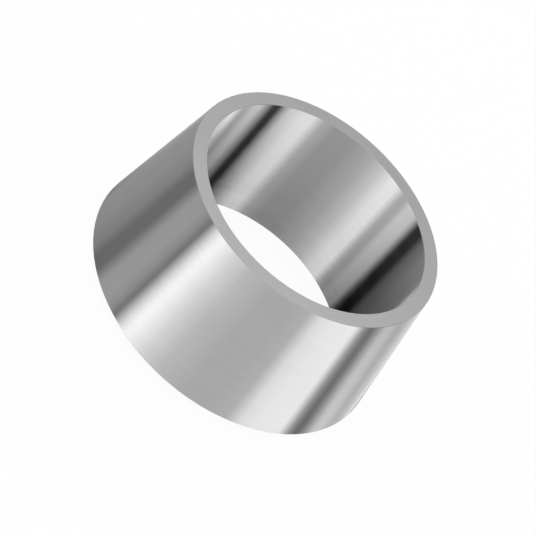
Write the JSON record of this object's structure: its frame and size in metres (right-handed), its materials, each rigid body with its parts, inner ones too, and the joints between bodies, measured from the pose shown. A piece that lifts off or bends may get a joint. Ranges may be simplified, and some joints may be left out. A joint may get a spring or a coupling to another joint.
{
  "type": "compression ferrule",
  "caption": "Turned metal ring with a straight bore and a tapered outside that is squeezed onto a tube to seal it.",
  "frame": {"origin": "centre of the back face, which is the bottom of the part's box", "axes": "+Z along the bore, from the thick back to the thin nose; X and Y are any two directions across the round part"},
  "size_m": [0.0168, 0.0168, 0.0082],
  "materials": {
    "polished_steel": "fine-turned and polished stainless steel, with faint marks that run around the ring"
  },
  "bodies": {
    "root": {"ferrule": "polished_steel"}
  },
  "joints": []
}
